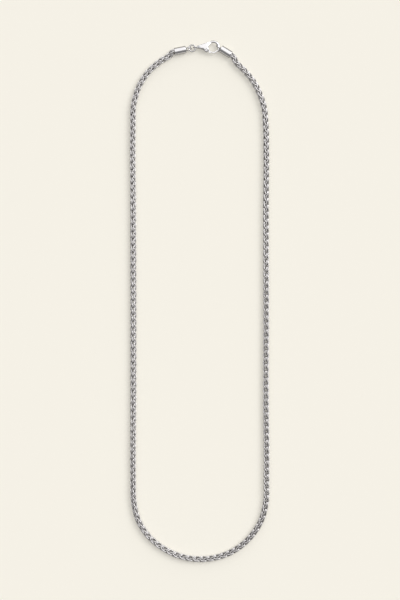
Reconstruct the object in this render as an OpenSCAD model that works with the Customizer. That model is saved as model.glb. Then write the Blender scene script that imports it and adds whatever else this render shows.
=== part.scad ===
// Wheat chain necklace of silver, lying closed on a surface as one long loop.
// Millimetres. +X to the right, +Y towards the clasp, +Z up, the surface at Z = 0.
// The origin is the middle of the loop's box, on the surface.

/* [Chain] */
// Thickness of the woven chain
chain_d = 2.5; // [2.2:0.1:2.8]
// Thickness of the chain's ends, pressed for the end caps
chain_end_d = 2.4; // [2.2:0.05:2.45]
// Depth to which an end of the chain stands in its cap
chain_seat = 2.2; // [1.5:0.1:3]

/* [End caps] */
// Length of a cap's cup
cup_l = 5; // [4.2:0.1:5.5]
// Wall of the cup
cup_wall = 0.25; // [0.15:0.05:0.35]
// Gap between the cup's bore and the chain's end
cup_fit = 0.1; // [0.05:0.01:0.15]
// Thickness of the cup's closed end
cup_floor = 0.8; // [0.5:0.05:1.1]
// Bevel on the cup's outer rims
cup_bevel = 0.12; // [0.05:0.01:0.15]
// Hole of the eye that is soldered on the closed end
eye_hole_d = 1.7; // [1.6:0.05:2]
// Wire of that eye
eye_wire = 0.5; // [0.4:0.05:0.6]
// Depth of the eye's wire in the closed end
eye_sink = 0.3; // [0.2:0.05:0.4]

/* [Jump ring] */
// Hole of the jump ring
ring_hole_d = 2.1; // [2:0.05:2.6]
// Wire of the jump ring
ring_wire = 0.6; // [0.5:0.05:0.7]

/* [Clasp] */
// Hole of the hook
hook_hole_d = 3.9; // [3.7:0.05:4.2]
// Wire of the hook
hook_wire = 1; // [0.85:0.05:1.1]
// Distance from the hook's centre back to the tail's eye
clasp_l = 7.5; // [7:0.1:8.5]
// Height of the tail's axis over the hook's centre, seen from above
tail_rise = 0.3; // [0:0.05:0.6]
// Hole of the tail's eye
tail_hole_d = 1.1; // [1:0.05:1.4]
// Wire of the tail's eye
tail_wire = 0.5; // [0.4:0.05:0.7]
// Width of the tail's neck
neck_d = 1.1; // [0.9:0.05:1.3]
// Greatest thickness of the clasp's body
body_t = 2.2; // [2:0.05:2.5]
// Radius of the body's domed faces
dome_r = 8; // [7:0.5:12]

/* [Lever] */
// Distance of the pivot behind the hook's centre
pivot_back = 2.75; // [2.65:0.05:2.9]
// Distance of the pivot below the hook's centre, seen from above
pivot_drop = 1; // [0.9:0.05:1.1]
// Radius of the hinge lobe around the pivot
lobe_r = 0.85; // [0.8:0.05:0.95]
// Width of the lever's arm
lever_w = 0.5; // [0.4:0.05:0.6]
// Thickness of the lever
lever_t = 0.95; // [0.8:0.05:1.1]
// Gap between the lever and each cheek of the body
lever_side_gap = 0.05; // [0.04:0.01:0.08]
// Gap between the lever's tip and the hook's nose
tip_gap = 0.06; // [0.05:0.01:0.1]
// Diameter of the rivet
rivet_d = 0.7; // [0.6:0.05:0.8]
// Radial gap around the rivet
rivet_fit = 0.03; // [0.02:0.01:0.04]

/* [Lay] */
// Centre of the hook, from the loop's middle
hook_at = [5.65, 107.6]; // [0:0.1:120]
// Turn of the clasp from +X
clasp_turn = 2; // [0:0.5:6]
// Direction from the jump ring's centre to the tail's eye
ring_turn = 16; // [5:1:25]
// Turn of the left cap from +X, mouth first
left_cap_turn = 11; // [5:1:20]
// Roll of the left cap about its own axis
left_cap_roll = 30; // [0:5:40]
// Slack between the jump ring and the left cap's eye
ring_slack = 0.3; // [0.1:0.05:0.4]
// Place of the right cap's eye around the hook
hook_eye_turn = 0; // [-2:0.5:8]
// Shift of that eye from the middle of the hook's wire towards the hole
hook_eye_shift = 0.08; // [0:0.02:0.12]
// Turn of the right cap from +X, eye first
right_cap_turn = -32; // [-40:1:-25]

/* [Hidden] */
$fn = 64;

// Chain: route of its middle from the left cap round the loop to the right cap,
// in round numbers, with the place where its two halves meet
ROUTE_LEFT = [
    [-12.5, 104.5], [-16.5, 101.9], [-21.7, 97.3], [-25.6, 91.3], [-28, 83.5],
    [-28.3, 74], [-28.2, 40], [-28.1, 0], [-28.1, -40], [-28.2, -76], [-28, -84.5],
    [-26.2, -92.5], [-22.3, -98.9], [-16.4, -104.1], [-8.8, -107.9]];
ROUTE_MEET = [0, -109.3];
ROUTE_RIGHT = [
    [8.8, -108.1], [16.5, -104.4], [22.5, -98.7], [26.3, -92.4], [28.1, -84.7],
    [28.3, -76], [28.1, -40], [28.2, 0], [28.1, 40], [28.2, 64], [28, 74.4], [27.3, 82],
    [25.3, 88.3], [22.4, 93.7], [19, 97.8], [15.1, 101.8]];
chain_sides = 8;
ring_share = 0.68;
chain_lead = 0.9;
chain_taper = 0.6;

// End caps
cup_bore_d = chain_end_d + 2 * cup_fit;
cup_d = cup_bore_d + 2 * cup_wall;
eye_r = (eye_hole_d + eye_wire) / 2;
eye_d = eye_hole_d + 2 * eye_wire;
eye_out = eye_d / 2 - eye_sink;

// Heights over the surface; the chain's solid lies on one of its flats
chain_z = chain_d / 2;
chain_corner_r = chain_z / cos(180 / chain_sides);
fitting_z = max(cup_d, eye_d, body_t) / 2;

// Clasp, in its own frame: the hook's centre at the origin, the tail towards -X
ring_r = (ring_hole_d + ring_wire) / 2;
hook_r = (hook_hole_d + hook_wire) / 2;
hook_out_r = hook_hole_d / 2 + hook_wire;
tail_r = (tail_hole_d + tail_wire) / 2;
pivot = [-pivot_back, -pivot_drop];
nose_turn = -42;
hook_root_turn = 140;

// Lever: where its arm starts and ends, its root disc, its thumb nub and the dip beside it,
// and the room around it in the body's slot
tip_turn = -36;
heel_turn = -172;
lever_out_r = hook_hole_d / 2 + lever_w;
lever_reach = norm(lever_out_r * aim(tip_turn) - pivot);
arm_reach = 3 * hook_out_r;
root_inset = 0.1;
nub_r = 0.42;
nub_turn = -126;
nub_proud = 0.05;
dip_r = 0.45;
dip_turn = -105;
dip_off = 0.3;
slot_t = lever_t + 2 * lever_side_gap;
slot_room = 0.6;
slot_r = lobe_r + slot_room;

// Body: middle of its domed faces and root of the tail's neck, as a share of the length
// back from the hook and a height
dome_share = 0.48;
dome_rise = 0.4;
dome_at = [-dome_share * clasp_l, dome_rise];
neck_share = 0.56;
neck_rise = 0.55;
neck_root = [-neck_share * clasp_l, neck_rise];
neck_root_d = 1.7;

// The clasp's body: back edge that runs into the hook's wire, belly down to the hinge lobe
tail_edge = [-clasp_l + tail_r, tail_rise + neck_d / 2];
back_share = 0.25;
back_r = hook_out_r - back_share * hook_wire;
back_turn = atan2(tail_edge[1], tail_edge[0]) - acos(back_r / norm(tail_edge));
belly_top_share = 0.74;
belly_low_share = 0.57;
belly_drop = 0.8;
belly = [[-belly_top_share * clasp_l, tail_rise - neck_d / 2],
         [-belly_low_share * clasp_l, -belly_drop]];
lobe_front_turn = -60;
lobe_back_turn = -135;

// Places of the fittings in the necklace
tail_at = hook_at + turned([-clasp_l, tail_rise], clasp_turn);
ring_at = tail_at - ring_r * aim(ring_turn);
left_eye_at = ring_at - (ring_r + ring_slack) * aim(left_cap_turn);
left_mouth = left_eye_at - (eye_out + cup_l) * aim(left_cap_turn);
right_eye_at = hook_at + (hook_r - hook_eye_shift) * aim(clasp_turn + hook_eye_turn);
right_mouth = right_eye_at + (eye_out + cup_l) * aim(right_cap_turn);

function aim(a) = [cos(a), sin(a)];
function turned(p, a) = [p[0] * cos(a) - p[1] * sin(a), p[0] * sin(a) + p[1] * cos(a)];
function unit(v) = v / norm(v);

// Chain: a smooth curve through the route's points, with its direction at each of them
function bend(a, b, c) =
    let (before = norm(b - a), after = norm(c - b))
    unit((b - a) / before * after + (c - b) / after * before);
function headings(p, first, last) =
    [for (i = [0 : len(p) - 1])
        i == 0 ? first : i == len(p) - 1 ? last : bend(p[i - 1], p[i], p[i + 1])];
function on_curve(a, b, da, db, t) =
    let (l = norm(b - a))
    a * (2 * pow(t, 3) - 3 * pow(t, 2) + 1) + b * (3 * pow(t, 2) - 2 * pow(t, 3))
    + l * da * (pow(t, 3) - 2 * pow(t, 2) + t) + l * db * (pow(t, 3) - pow(t, 2));
function along_curve(a, b, da, db, t) =
    let (l = norm(b - a))
    unit((b - a) * 6 * (t - t * t) + l * da * (3 * t * t - 4 * t + 1)
         + l * db * (3 * t * t - 2 * t));

// Chain: rings of the swept solid, each as its middle, heading, height and radius;
// they lie closer where the route's points do
function curve_rings(p, d, skip) =
    [for (i = [0 : len(p) - 2])
        let (steps = max(1, round(ring_share * sqrt(norm(p[i + 1] - p[i])))))
        for (k = [(i == 0 ? skip : 0) : steps - (i < len(p) - 2 ? 1 : 0)])
            let (t = k / steps)
            [on_curve(p[i], p[i + 1], d[i], d[i + 1], t),
             along_curve(p[i], p[i + 1], d[i], d[i + 1], t), chain_z, chain_corner_r]];
function end_rings(mouth, way) =
    [[mouth - chain_seat * way, way, fitting_z, chain_end_d / 2],
     [mouth + (chain_lead - chain_taper) * way, way, fitting_z, chain_end_d / 2],
     [mouth + chain_lead * way, way, fitting_z, chain_corner_r]];
function half_chain(mouth, way, points) =
    let (p = concat([mouth + chain_lead * way], points),
         meet_way = [points[len(points) - 1][0] > points[len(points) - 2][0] ? 1 : -1, 0])
    concat(end_rings(mouth, way), curve_rings(p, headings(p, way, meet_way), 1));

module tube(rings) {
    corner = 360 / chain_sides;
    count = len(rings);
    points = [
        for (r = rings)
            for (k = [0 : chain_sides - 1])
                let (a = (k + 0.5) * corner, p = r[0] + turned(r[1], 90) * r[3] * cos(a))
                [p[0], p[1], r[2] + r[3] * sin(a)]];
    walls = [
        for (i = [0 : count - 2])
            for (k = [0 : chain_sides - 1])
                let (a = i * chain_sides + k, b = i * chain_sides + (k + 1) % chain_sides,
                     c = b + chain_sides, d = a + chain_sides)
                each [[a, b, c], [a, c, d]]];
    start = [[for (k = [chain_sides - 1 : -1 : 0]) k]];
    end = [[for (k = [0 : chain_sides - 1]) (count - 1) * chain_sides + k]];
    polyhedron(points = points, faces = concat(walls, start, end));
}

module chain_left() {
    color("silver")
        tube(half_chain(left_mouth, -aim(left_cap_turn), concat(ROUTE_LEFT, [ROUTE_MEET])));
}

module chain_right() {
    points = [for (i = [len(ROUTE_RIGHT) - 1 : -1 : 0]) ROUTE_RIGHT[i]];
    color("silver")
        tube(half_chain(right_mouth, aim(right_cap_turn), concat(points, [ROUTE_MEET])));
}

// A round wire bent to a ring about Z
module wire_ring(middle_r, wire) {
    rotate_extrude() translate([middle_r, 0]) circle(d = wire, $fn = 32);
}

// End cap along +X: the eye's centre at the origin, its ring upright, the cup's mouth at +X
module end_cap() {
    outer = cup_d / 2;
    bore = cup_bore_d / 2;
    rotate([90, 0, 0]) wire_ring(eye_r, eye_wire);
    translate([eye_out, 0, 0]) rotate([0, 90, 0]) rotate_extrude() polygon([
        [0, 0], [outer - cup_bevel, 0], [outer, cup_bevel], [outer, cup_l - cup_bevel],
        [outer - cup_bevel, cup_l], [bore, cup_l], [bore, cup_floor], [0, cup_floor]]);
}

module end_cap_left() {
    color("gainsboro")
        translate([left_eye_at[0], left_eye_at[1], fitting_z])
        rotate([0, 0, left_cap_turn + 180]) rotate([left_cap_roll, 0, 0]) end_cap();
}

module end_cap_right() {
    color("gainsboro")
        translate([right_eye_at[0], right_eye_at[1], fitting_z])
        rotate([0, 0, right_cap_turn]) end_cap();
}

module jump_ring() {
    color("gainsboro")
        translate([ring_at[0], ring_at[1], fitting_z]) wire_ring(ring_r, ring_wire);
}

module clasp_place() {
    translate([hook_at[0], hook_at[1], fitting_z]) rotate([0, 0, clasp_turn]) children();
}

// The body's outline from above, hook left out
module body_outline() {
    difference() {
        union() {
            polygon(concat(
                [tail_edge, back_r * aim(back_turn), [0, 0]],
                [pivot + lobe_r * aim(lobe_front_turn), pivot + lobe_r * aim(lobe_back_turn)],
                [belly[1], belly[0]],
                [[tail_edge[0], tail_rise - neck_d / 2]]));
            translate(pivot) circle(lobe_r);
        }
        circle(d = hook_hole_d);
    }
}

// Two shallow domes, face to face
module domes() {
    for (side = [-1, 1])
        intersection_for (face = [-1, 1])
            translate([dome_at[0], dome_at[1], face * (body_t / 2 - dome_r)])
            sphere(dome_r, $fn = 128);
}

module hook() {
    difference() {
        rotate([0, 0, nose_turn]) rotate_extrude(angle = hook_root_turn - nose_turn)
            translate([hook_r, 0]) circle(d = hook_wire, $fn = 32);
        translate([pivot[0], pivot[1], -hook_wire]) intersection() {
            cylinder(r = lever_reach + tip_gap, h = 2 * hook_wire);
            translate([0, -hook_hole_d, 0])
                cube([2 * lever_reach, hook_hole_d + pivot_drop, 2 * hook_wire]);
        }
    }
}

module tail() {
    translate([-clasp_l, tail_rise, 0]) rotate([90, 0, 0]) wire_ring(tail_r, tail_wire);
    from = [-clasp_l + tail_r, tail_rise];
    reach = neck_root - from;
    translate([from[0], from[1], 0]) rotate([0, 0, atan2(reach[1], reach[0])])
        rotate([0, 90, 0]) cylinder(d1 = neck_d, d2 = neck_root_d, h = norm(reach));
}

module clasp_body() {
    color("gainsboro") clasp_place() difference() {
        union() {
            intersection() {
                translate([0, 0, -body_t / 2]) linear_extrude(body_t) body_outline();
                domes();
            }
            hook();
            tail();
        }
        translate([pivot[0], pivot[1], -slot_t / 2]) cylinder(r = slot_r, h = slot_t);
        translate([pivot[0], pivot[1], -body_t])
            cylinder(d = rivet_d + 2 * rivet_fit, h = 2 * body_t);
    }
}

// The lever's outline from above: root disc, curved arm and thumb nub
module lever_outline() {
    difference() {
        union() {
            translate(pivot) circle(lobe_r - root_inset);
            intersection() {
                difference() {
                    circle(lever_out_r);
                    circle(d = hook_hole_d);
                }
                polygon([[0, 0], arm_reach * aim(heel_turn), arm_reach * aim(-90),
                         arm_reach * aim(tip_turn)]);
                translate(pivot) circle(lever_reach, $fn = 128);
            }
            translate((lever_out_r + nub_proud) * aim(nub_turn)) circle(nub_r);
        }
        translate((lever_out_r + dip_off) * aim(dip_turn)) circle(dip_r);
        translate(pivot) circle(d = rivet_d + 2 * rivet_fit);
    }
}

module clasp_lever() {
    color("gainsboro") clasp_place()
        translate([0, 0, -lever_t / 2]) linear_extrude(lever_t) lever_outline();
}

// Thickness of the domed body at the pivot
rivet_l = body_t - 2 * (dome_r - sqrt(pow(dome_r, 2) - pow(norm(pivot - dome_at), 2)));

module lever_rivet() {
    color("lightgray") clasp_place()
        translate([pivot[0], pivot[1], -rivet_l / 2]) cylinder(d = rivet_d, h = rivet_l);
}

chain_left();
chain_right();
end_cap_left();
end_cap_right();
jump_ring();
clasp_body();
clasp_lever();
lever_rivet();
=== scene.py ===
"""Wheat chain necklace of silver, lying closed on a pale surface and seen from straight above."""
import math

import bpy
import numpy as np
from mathutils import Matrix, Vector
from mathutils.kdtree import KDTree


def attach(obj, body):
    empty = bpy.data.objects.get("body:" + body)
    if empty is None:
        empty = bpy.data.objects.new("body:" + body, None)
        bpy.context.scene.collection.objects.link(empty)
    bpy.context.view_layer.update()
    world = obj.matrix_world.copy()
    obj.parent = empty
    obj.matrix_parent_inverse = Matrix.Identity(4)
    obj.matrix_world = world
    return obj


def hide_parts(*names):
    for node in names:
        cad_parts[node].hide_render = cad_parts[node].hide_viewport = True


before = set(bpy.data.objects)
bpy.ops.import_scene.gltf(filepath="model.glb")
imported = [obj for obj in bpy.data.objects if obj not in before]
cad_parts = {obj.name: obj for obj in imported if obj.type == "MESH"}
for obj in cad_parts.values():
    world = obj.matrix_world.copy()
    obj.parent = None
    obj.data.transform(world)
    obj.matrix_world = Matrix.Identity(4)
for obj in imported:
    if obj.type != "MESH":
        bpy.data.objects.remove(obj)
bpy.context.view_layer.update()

MM = 0.001

# Photograph: its height in pixels, the real size of a pixel, and the point under its middle
PHOTO_H = 600
PIXEL = 0.424 * MM
VIEW_MIDDLE = (0.13 * MM, 0.55 * MM)

# Camera: lens and sensor in millimetres, nearest and farthest distance that it sees in metres
LENS = 100
SENSOR = 36
CAMERA_NEAR = 0.01
CAMERA_FAR = 20

# Chain: height of its middle, depth in the caps, straight length outside them
CHAIN_Z = 1.36
CHAIN_SEAT = 2.2
CHAIN_LEAD = 0.9

# Turn of each cap's axis in the plane of the floor, in degrees
LEFT_CAP_TURN = 11
RIGHT_CAP_TURN = -32

# Chain: the route of its middle in millimetres, from the left cap round to the right cap
ROUTE_LEFT = [
    (-12.5, 104.5), (-16.5, 101.9), (-21.7, 97.3), (-25.6, 91.3), (-28, 83.5),
    (-28.3, 74), (-28.2, 40), (-28.1, 0), (-28.1, -40), (-28.2, -76), (-28, -84.5),
    (-26.2, -92.5), (-22.3, -98.9), (-16.4, -104.1), (-8.8, -107.9)]
ROUTE_MEET = (0, -109.3)
ROUTE_RIGHT = [
    (8.8, -108.1), (16.5, -104.4), (22.5, -98.7), (26.3, -92.4), (28.1, -84.7),
    (28.3, -76), (28.1, -40), (28.2, 0), (28.1, 40), (28.2, 64), (28, 74.4), (27.3, 82),
    (25.3, 88.3), (22.4, 93.7), (19, 97.8), (15.1, 101.8)]
ROUTE_STEPS = 24

# Link: wire, distance from one link to the next, and a quarter of the link's middle line.
# The bar at the bottom crosses the chain, and the tip of the lobe points along it.
WIRE_D = 0.42
LINK_STEP = 1.465
BAR_Y = 0.215
LOBE_OUT = 1.04
LOBE_HALF = 0.665
TIP_OUT = 0.5
TIP_Z = 2.86

# Link: steps of each stretch of its curve, points of its final line, sides of its wire
LINK_STEPS = 8
LINK_POINTS = 52
WIRE_SIDES = 8

# Lay of the links: the first one's turn, how wide they spread in the open chain and how far
# they are pressed together in the caps, and how unevenly they lean, in degrees, and shift
LINK_TURN = 62
SPREAD = 1.05
PINCH = 0.97
LINK_SEED = 7
LEAN_SPREAD = 1.2
SHIFT_SPREAD = 0.012

# Slow twist of the laid chain, to and fro: its greatest angle, a length along the chain from
# the right cap where it is reached, and the length over which it comes back to it
TWIST = 22
TWIST_PEAK = 140
TWIST_LENGTH = 220

# Cast and soldered fittings: size of the grid, rounds of smoothing, share of the faces kept
BODY_FINISH = (0.05, 12, 0.25)
LEVER_FINISH = (0.045, 12, 0.35)
CAP_FINISH = (0.06, 5, 0.35)
SMOOTH_STRENGTH = 0.5

# Clasp's body: the middle of its height, half the thickness of its rim and of its crown, how
# far in from the rim the crown is full, how level a wall's normal is, how far below the rim's
# edge a wall still counts as rim, and the rivet's place and the room around it
CLASP_MIDDLE = 1.55
RIM_HALF = 0.7
CROWN_HALF = 1.1
CROWN_REACH = 1.1
WALL_NORMAL = 0.3
RIM_BAND = 0.1
RIVET_AT = (2.937, 106.505)
RIVET_ROOM = 0.5

# Painted shade between the links, a darker colour where the wires would shade each other: distance
# from the chain's middle at which it starts, and how far in it is at its darkest
SHADE_START = 1.12
SHADE_FADE = 0.5

# Height of the polish marks in millimetres
MARK_HEIGHT = 0.02

# A cap's corners this near to its farthest one belong to its open rim
MOUTH_TOLERANCE = 0.01

# Floor: half its side in metres, its colour, linear, how rough it is and how much it glints,
# and how much it shines by itself, as a light table does
FLOOR_HALF = 3.0
CREAM = (0.601, 0.580, 0.525)
PAPER_ROUGH = 0.9
PAPER_GLINT = 0.1
TABLE_GLOW = 0.55

# Light: the middle of the bright ceiling, the angles from it where the ceiling ends and the
# walls begin, how bright each is, and the window's direction, width in degrees and strength
CEILING_AT = (0.22, 0.8, 1.0)
CEILING_ANGLE = 40
WALL_ANGLE = 62
CEILING_LIGHT = 1.15
WALL_LIGHT = 0.22
WINDOW_AT = (0.95, 0.6, 1.1)
WINDOW_WIDTH = 36
WINDOW_LIGHT = 1.4
DAYLIGHT = (1.0, 0.995, 0.985)


def aim(degrees):
    """Direction in the plane of the floor."""
    angle = math.radians(degrees)
    return np.array([math.cos(angle), math.sin(angle), 0.0])


# Curves

def directions(points, first, last):
    """Direction of a smooth curve at each of its points."""
    ways = [first]
    for before, here, after in zip(points, points[1:], points[2:]):
        into = here - before
        out = after - here
        reach_in = np.linalg.norm(into)
        reach_out = np.linalg.norm(out)
        way = into / reach_in * reach_out + out / reach_out * reach_in
        ways.append(way / np.linalg.norm(way))
    ways.append(last)
    return ways


def smooth_curve(points, first, last, steps):
    """Points on a smooth curve through the given points, with that many steps a stretch."""
    ways = directions(points, first, last)
    t = np.arange(steps)[:, None] / steps
    stretches = []
    for start, end, way_start, way_end in zip(points, points[1:], ways, ways[1:]):
        reach = np.linalg.norm(end - start)
        stretches.append(
            start * (2 * t**3 - 3 * t**2 + 1) + end * (3 * t**2 - 2 * t**3)
            + reach * way_start * (t**3 - 2 * t**2 + t) + reach * way_end * (t**3 - t**2))
    stretches.append(points[-1][None])
    return np.vstack(stretches)


def lengths_along(line):
    """Length of the line up to each of its points."""
    return np.concatenate([[0], np.cumsum(np.linalg.norm(np.diff(line, axis=0), axis=1))])


def at_length(line, lengths, s):
    """Places on the line at the lengths s."""
    return np.stack([np.interp(s, lengths, line[:, k]) for k in range(3)], axis=-1)


# Camera, lights and floor

def place_camera():
    distance = PHOTO_H * PIXEL * LENS / SENSOR
    data = bpy.data.cameras.new("camera")
    data.lens = LENS
    data.sensor_width = SENSOR
    data.clip_start = CAMERA_NEAR
    data.clip_end = CAMERA_FAR
    camera = bpy.data.objects.new("camera", data)
    camera.location = (*VIEW_MIDDLE, distance + CHAIN_Z * MM)
    bpy.context.scene.collection.objects.link(camera)
    bpy.context.scene.camera = camera


def light_world():
    """A bright ceiling that fades to a dim band above the floor."""
    world = bpy.data.worlds.new("studio")
    bpy.context.scene.world = world
    world.use_nodes = True
    nodes, links = world.node_tree.nodes, world.node_tree.links
    place = nodes.new("ShaderNodeTexCoord")
    height = nodes.new("ShaderNodeVectorMath")
    height.operation = "DOT_PRODUCT"
    height.inputs[1].default_value = Vector(CEILING_AT).normalized()
    links.new(place.outputs["Generated"], height.inputs[0])
    fade = nodes.new("ShaderNodeMapRange")
    fade.interpolation_type = "SMOOTHSTEP"
    fade.inputs["From Min"].default_value = math.cos(math.radians(WALL_ANGLE))
    fade.inputs["From Max"].default_value = math.cos(math.radians(CEILING_ANGLE))
    fade.inputs["To Min"].default_value = WALL_LIGHT
    fade.inputs["To Max"].default_value = CEILING_LIGHT
    links.new(height.outputs["Value"], fade.inputs["Value"])
    background = nodes["Background"]
    background.inputs["Color"].default_value = (*DAYLIGHT, 1)
    links.new(fade.outputs["Result"], background.inputs["Strength"])


def light_window():
    """Soft light from the upper right of the photograph."""
    data = bpy.data.lights.new("window", "SUN")
    data.energy = WINDOW_LIGHT
    data.angle = math.radians(WINDOW_WIDTH)
    data.color = DAYLIGHT
    light = bpy.data.objects.new("window", data)
    light.rotation_euler = (-Vector(WINDOW_AT)).to_track_quat("-Z", "Y").to_euler()
    bpy.context.scene.collection.objects.link(light)


def lay_floor():
    half = FLOOR_HALF
    mesh = bpy.data.meshes.new("floor")
    mesh.from_pydata([(-half, -half, 0), (half, -half, 0), (half, half, 0), (-half, half, 0)],
                     [], [(0, 1, 2, 3)])
    floor = bpy.data.objects.new("floor", mesh)
    bpy.context.scene.collection.objects.link(floor)
    material = bpy.data.materials.new("cream_paper")
    material.use_nodes = True
    shader = material.node_tree.nodes["Principled BSDF"]
    shader.inputs["Base Color"].default_value = (*CREAM, 1)
    shader.inputs["Roughness"].default_value = PAPER_ROUGH
    shader.inputs["Specular IOR Level"].default_value = PAPER_GLINT
    shader.inputs["Emission Color"].default_value = (*CREAM, 1)
    shader.inputs["Emission Strength"].default_value = TABLE_GLOW
    mesh.materials.append(material)


# Materials

def new_group(name, inputs, outputs):
    """A shader node group with the given number inputs and outputs, and its two end nodes."""
    group = bpy.data.node_groups.new(name, "ShaderNodeTree")
    for label, value in inputs.items():
        socket = group.interface.new_socket(label, in_out="INPUT", socket_type="NodeSocketFloat")
        socket.default_value = value
    for label, kind in outputs.items():
        group.interface.new_socket(label, in_out="OUTPUT", socket_type=kind)
    return group, group.nodes.new("NodeGroupInput"), group.nodes.new("NodeGroupOutput")


def polish_marks():
    """Fine marks of tumbling and wear: a roughness that varies, and a height for a bump."""
    group, given, result = new_group(
        "polish_marks",
        {"Grain": 2600, "Smooth": 0.12, "Rough": 0.24},
        {"Roughness": "NodeSocketFloat", "Height": "NodeSocketFloat"})
    nodes, links = group.nodes, group.links
    place = nodes.new("ShaderNodeTexCoord")
    grain = nodes.new("ShaderNodeTexNoise")
    grain.inputs["Detail"].default_value = 3
    links.new(place.outputs["Object"], grain.inputs["Vector"])
    links.new(given.outputs["Grain"], grain.inputs["Scale"])
    spread = nodes.new("ShaderNodeMapRange")
    spread.inputs["From Min"].default_value = 0.3
    spread.inputs["From Max"].default_value = 0.7
    links.new(grain.outputs["Fac"], spread.inputs["Value"])
    links.new(given.outputs["Smooth"], spread.inputs["To Min"])
    links.new(given.outputs["Rough"], spread.inputs["To Max"])
    links.new(spread.outputs["Result"], result.inputs["Roughness"])
    links.new(grain.outputs["Fac"], result.inputs["Height"])
    return group


def silver(name, bright, painted_shade_colour, edge, marks, grain, smooth, rough, bump):
    """Silver with fine marks; its colour darkens as painted shade between the links, where a mesh
    holds the shade value, and as a painted dark reflection at its rim, where it turns from the
    viewer.
    """
    material = bpy.data.materials.new(name)
    material.use_nodes = True
    nodes, links = material.node_tree.nodes, material.node_tree.links
    shader = nodes["Principled BSDF"]
    shader.inputs["Metallic"].default_value = 1
    wear = nodes.new("ShaderNodeGroup")
    wear.node_tree = marks
    wear.inputs["Grain"].default_value = grain
    wear.inputs["Smooth"].default_value = smooth
    wear.inputs["Rough"].default_value = rough
    links.new(wear.outputs["Roughness"], shader.inputs["Roughness"])
    relief = nodes.new("ShaderNodeBump")
    relief.inputs["Strength"].default_value = bump
    relief.inputs["Distance"].default_value = MARK_HEIGHT * MM
    links.new(wear.outputs["Height"], relief.inputs["Height"])
    links.new(relief.outputs["Normal"], shader.inputs["Normal"])
    # Painted shade between the links: the colour goes to the darker one where the mesh's shade
    # value is high
    shade_between_links = nodes.new("ShaderNodeAttribute")
    shade_between_links.attribute_name = "shade_between_links"
    inside = nodes.new("ShaderNodeMix")
    inside.data_type = "RGBA"
    inside.inputs["A"].default_value = (*bright, 1)
    inside.inputs["B"].default_value = (*painted_shade_colour, 1)
    links.new(shade_between_links.outputs["Fac"], inside.inputs["Factor"])
    # Painted dark reflection at the rim: the colour goes to the darker one where the surface turns
    # away from the viewer
    facing = nodes.new("ShaderNodeLayerWeight")
    facing.inputs["Blend"].default_value = 0.5
    fade = nodes.new("ShaderNodeMapRange")
    fade.interpolation_type = "SMOOTHSTEP"
    fade.inputs["From Min"].default_value = edge[0]
    fade.inputs["From Max"].default_value = edge[1]
    links.new(facing.outputs["Facing"], fade.inputs["Value"])
    rim = nodes.new("ShaderNodeMix")
    rim.data_type = "RGBA"
    rim.inputs["B"].default_value = (*painted_shade_colour, 1)
    links.new(inside.outputs["Result"], rim.inputs["A"])
    links.new(fade.outputs["Result"], rim.inputs["Factor"])
    links.new(rim.outputs["Result"], shader.inputs["Base Color"])
    return material


# Woven chain

def quarter_link():
    """A quarter of a link's middle line: from the bar's middle up to the lobe's tip."""
    return np.array([
        (0, BAR_Y, 0),
        (0.35, BAR_Y, 0),
        (TIP_OUT + 0.14, BAR_Y, 0.01),
        (LOBE_OUT - 0.17, BAR_Y + 0.005, 0.15),
        (LOBE_OUT - 0.03, BAR_Y + 0.02, 0.5),
        (LOBE_OUT, 0.26, 0.95),
        (LOBE_OUT - 0.02, 0.30, 1.45),
        (LOBE_OUT - 0.10, 0.38, 1.95),
        (TIP_OUT + 0.27, LOBE_HALF - 0.06, TIP_Z - 0.44),
        (TIP_OUT + 0.09, LOBE_HALF, TIP_Z),
        (TIP_OUT + 0.01, LOBE_HALF * 0.83, TIP_Z + 0.37),
        (TIP_OUT - 0.01, LOBE_HALF * 0.43, TIP_Z + 0.59),
        (TIP_OUT - 0.02, 0, TIP_Z + 0.65)])


def link_line():
    """The closed middle line of one link, in even steps."""
    quarter = quarter_link()
    mirrored = np.vstack([quarter[:-1], quarter[:0:-1] * (1, -1, 1),
                          quarter[:-1] * (-1, -1, 1), quarter[:0:-1] * (-1, 1, 1)])
    points = list(mirrored) + [mirrored[0]]
    start_way = np.array([1.0, 0, 0])
    line = smooth_curve(points, start_way, start_way, LINK_STEPS)
    lengths = lengths_along(line)
    return at_length(line, lengths, np.arange(LINK_POINTS) * lengths[-1] / LINK_POINTS)


def wire_along(line, radius, sides):
    """Corners of a round wire along a closed line, without a twist at its seam."""
    count = len(line)
    ways = np.roll(line, -1, axis=0) - np.roll(line, 1, axis=0)
    ways /= np.linalg.norm(ways, axis=1)[:, None]
    side = np.cross(ways[0], (0, 0, 1.0))
    sides_along = []
    for way in list(ways) + [ways[0]]:
        side = side - way * side.dot(way)
        side = side / np.linalg.norm(side)
        sides_along.append(side)
    first, last = sides_along[0], sides_along[-1]
    slip = math.atan2(np.cross(first, last).dot(ways[0]), first.dot(last))
    rings = []
    for k in range(count):
        across = np.cross(ways[k], sides_along[k])
        turn = np.arange(sides) * 2 * math.pi / sides - slip * k / count
        rings.append(line[k] + radius * (np.cos(turn)[:, None] * sides_along[k]
                                         + np.sin(turn)[:, None] * across))
    return np.array(rings).reshape(-1, 3)


def wire_faces(count, sides):
    """Faces of a closed wire, whose corners lie ring after ring."""
    ring = np.arange(count)[:, None]
    side = np.arange(sides)[None]
    next_ring = (ring + 1) % count
    next_side = (side + 1) % sides
    return np.stack([ring * sides + side, ring * sides + next_side,
                     next_ring * sides + next_side, next_ring * sides + side],
                    axis=-1).reshape(-1, 4)


def cap_mouth(node, way):
    """Middle of a cap's open rim, in millimetres: the node's corners farthest along way."""
    corners = np.array([v.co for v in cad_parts[node].data.vertices]) / MM
    reach = corners @ way
    rim = corners[reach > reach.max() - MOUTH_TOLERANCE]
    return (rim.min(axis=0) + rim.max(axis=0)) / 2


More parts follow.
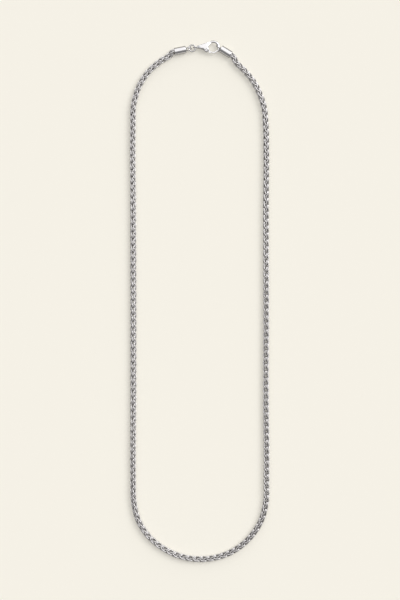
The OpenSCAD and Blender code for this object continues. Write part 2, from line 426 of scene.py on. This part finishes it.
def chain_route():
    """The chain's middle line from inside the right cap to inside the left cap, the length
    up to each of its points, and the length at which its two halves meet."""
    right_way = aim(RIGHT_CAP_TURN)
    left_way = -aim(LEFT_CAP_TURN)
    right_mouth = cap_mouth("end_cap_right", right_way)
    left_mouth = cap_mouth("end_cap_left", left_way)
    floor_points = ROUTE_LEFT + [ROUTE_MEET] + ROUTE_RIGHT
    points = [np.array([x, y, CHAIN_Z]) for x, y in reversed(floor_points)]
    start = right_mouth + CHAIN_LEAD * right_way
    end = left_mouth + CHAIN_LEAD * left_way
    curve = smooth_curve([start] + points + [end], right_way, -left_way, ROUTE_STEPS)
    line = np.vstack([right_mouth - CHAIN_SEAT * right_way, curve,
                      left_mouth - CHAIN_SEAT * left_way])
    lengths = lengths_along(line)
    meet = lengths[np.argmin(np.linalg.norm(line - (*ROUTE_MEET, CHAIN_Z), axis=1))]
    return line, lengths, meet


def chain_pinch(s, total):
    """How much the chain is pressed together at its ends, where it stands in the caps."""
    from_end = np.minimum(s, total - s) - CHAIN_SEAT
    loose = np.clip(from_end / CHAIN_LEAD, 0, 1)
    return PINCH + (SPREAD - PINCH) * loose * loose * (3 - 2 * loose)


def link_starts(link, total):
    """Lengths along the chain at which its links start, in even steps."""
    reach = total - link[:, 2].max() - WIRE_D / 2
    count = 1 + round(reach / LINK_STEP)
    return WIRE_D / 2 + np.arange(count) * (reach / (count - 1))


def place_across(link, s, total):
    """How far each corner of each link lies to the chain's side and above its middle."""
    count = len(s)
    random = np.random.RandomState(LINK_SEED)
    lean = random.normal(0, LEAN_SPREAD, count)
    shift = random.normal(0, SHIFT_SPREAD, (count, 2))
    twist = TWIST * np.cos((s - TWIST_PEAK) * 2 * math.pi / TWIST_LENGTH)
    turn = np.radians(LINK_TURN + 90 * (np.arange(count) % 2)[:, None] + twist + lean[:, None])
    pinch = chain_pinch(s, total)
    across = (link[:, 0] * np.cos(turn) - link[:, 1] * np.sin(turn) + shift[:, :1]) * pinch
    up = (link[:, 0] * np.sin(turn) + link[:, 1] * np.cos(turn) + shift[:, 1:]) * pinch
    return across, up


def weave_chain(material):
    """The links of the chain, laid along its route, as one mesh for each half."""
    line, lengths, meet = chain_route()
    total = lengths[-1]
    ways = np.gradient(line, lengths, axis=0)
    ways[:, 2] = 0
    ways /= np.linalg.norm(ways, axis=1)[:, None]
    link = wire_along(link_line(), WIRE_D / 2, WIRE_SIDES)
    starts = link_starts(link, total)

    s = starts[:, None] + link[None, :, 2]
    across, up = place_across(link, s, total)
    way = at_length(ways, lengths, s)
    corners = at_length(line, lengths, s)
    corners[..., 0] -= across * way[..., 1]
    corners[..., 1] += across * way[..., 0]
    corners[..., 2] += up

    # Painted shade between the links: wires near the chain's middle get a darker colour, as if the
    # links around them shaded them
    radius = np.hypot(link[:, 0], link[:, 1])
    shade_between_links = np.clip((SHADE_START - radius) / SHADE_FADE, 0, 1)
    faces = wire_faces(LINK_POINTS, WIRE_SIDES)
    middle_s = starts + link[:, 2].mean()
    for name, node, chosen in (("links_right", "chain_right", middle_s < meet),
                               ("links_left", "chain_left", middle_s >= meet)):
        add_links(name, node, corners[chosen], shade_between_links, faces, material)


def add_links(name, node, corners, shade_between_links, faces, material):
    """One mesh of many links, in the place of a half of the chain."""
    count, each = corners.shape[:2]
    all_faces = (faces[None] + np.arange(count)[:, None, None] * each).reshape(-1, 4)
    mesh = bpy.data.meshes.new(name)
    mesh.from_pydata((corners.reshape(-1, 3) * MM).tolist(), [], all_faces.tolist())
    # The painted shade between the links, kept on the mesh for its material
    mesh.attributes.new("shade_between_links", "FLOAT", "POINT").data.foreach_set("value", np.tile(shade_between_links, count))
    mesh.polygons.foreach_set("use_smooth", [True] * len(mesh.polygons))
    mesh.materials.append(material)
    piece = bpy.data.objects.new(name, mesh)
    bpy.context.scene.collection.objects.link(piece)
    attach(piece, "necklace")
    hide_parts(node)


# Cast and soldered fittings

def apply_modifiers(piece):
    """The piece's mesh as its modifiers leave it, and no modifiers on it any more."""
    bpy.context.view_layer.update()
    finished = bpy.data.meshes.new_from_object(
        piece.evaluated_get(bpy.context.evaluated_depsgraph_get()))
    piece.modifiers.clear()
    piece.data = finished
    return finished


def remesh(piece, voxel):
    """The piece as one closed skin of small even faces."""
    grid = piece.modifiers.new("grid", "REMESH")
    grid.mode = "VOXEL"
    grid.voxel_size = voxel
    grid.use_smooth_shade = True
    return apply_modifiers(piece)


def crown_faces(mesh):
    """The clasp's two flat faces rounded down towards their outline, as a casting's are."""
    rim = [vertex.co for vertex in mesh.vertices
           if abs(vertex.normal.z) < WALL_NORMAL
           and abs(vertex.co.z - CLASP_MIDDLE) > RIM_HALF - RIM_BAND
           and (vertex.co.xy - Vector(RIVET_AT)).length > RIVET_ROOM]
    outline = KDTree(len(rim))
    for index, place in enumerate(rim):
        outline.insert((place.x, place.y, 0), index)
    outline.balance()
    for vertex in mesh.vertices:
        off = outline.find((vertex.co.x, vertex.co.y, 0))[2]
        inward = 1 - min(1, off / CROWN_REACH)
        limit = RIM_HALF + (CROWN_HALF - RIM_HALF) * math.sqrt(1 - inward ** 2)
        height = vertex.co.z - CLASP_MIDDLE
        vertex.co.z = CLASP_MIDDLE + max(-limit, min(limit, height))


def soften(name, node, body, material, voxel, rounds, keep, shape=None):
    """A fitting with its edges and corners rounded, as casting, solder and polish leave them."""
    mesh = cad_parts[node].data.copy()
    mesh.name = name
    mesh.transform(Matrix.Scale(1 / MM, 4))
    mesh.materials.clear()
    piece = bpy.data.objects.new(name, mesh)
    bpy.context.scene.collection.objects.link(piece)
    remesh(piece, voxel)
    if shape:
        shape(piece.data)
        remesh(piece, voxel)
    smooth = piece.modifiers.new("smooth", "SMOOTH")
    smooth.factor = SMOOTH_STRENGTH
    smooth.iterations = rounds
    thin = piece.modifiers.new("thin", "DECIMATE")
    thin.ratio = keep
    finished = apply_modifiers(piece)
    finished.transform(Matrix.Scale(MM, 4))
    finished.materials.clear()
    finished.materials.append(material)
    finished.polygons.foreach_set("use_smooth", [True] * len(finished.polygons))
    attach(piece, body)
    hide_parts(node)


def dress_node(node, material):
    """A carried-over node with its own finish."""
    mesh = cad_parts[node].data
    mesh.materials.clear()
    mesh.materials.append(material)


# The scene, its finishes and its pieces

place_camera()
light_world()
light_window()
bpy.context.scene.view_settings.view_transform = "Standard"
lay_floor()

# Each silver: its colour where it faces the viewer, its darker colour for the painted shade inside
# and the painted dark reflection at its rim, and where that rim starts and is full
marks = polish_marks()
chain_silver = silver("chain_silver", (0.735, 0.718, 0.724), (0.34, 0.33, 0.333), (0.3, 0.95),
                      marks, grain=2200, smooth=0.36, rough=0.52, bump=0.25)
polished_silver = silver("polished_silver", (0.835, 0.822, 0.838), (0.13, 0.128, 0.13),
                         (0.12, 0.68), marks, grain=1800, smooth=0.1, rough=0.2, bump=0.12)
drawn_silver = silver("drawn_silver", (0.7, 0.686, 0.695), (0.11, 0.108, 0.11), (0.05, 0.55),
                      marks, grain=2000, smooth=0.2, rough=0.35, bump=0.2)

weave_chain(chain_silver)
soften("clasp_body_cast", "clasp_body", "necklace", polished_silver, *BODY_FINISH, crown_faces)
soften("clasp_lever_cast", "clasp_lever", "lever", polished_silver, *LEVER_FINISH)
soften("cap_left_soldered", "end_cap_left", "necklace", polished_silver, *CAP_FINISH)
soften("cap_right_soldered", "end_cap_right", "necklace", polished_silver, *CAP_FINISH)
dress_node("jump_ring", drawn_silver)
dress_node("lever_rivet", drawn_silver)
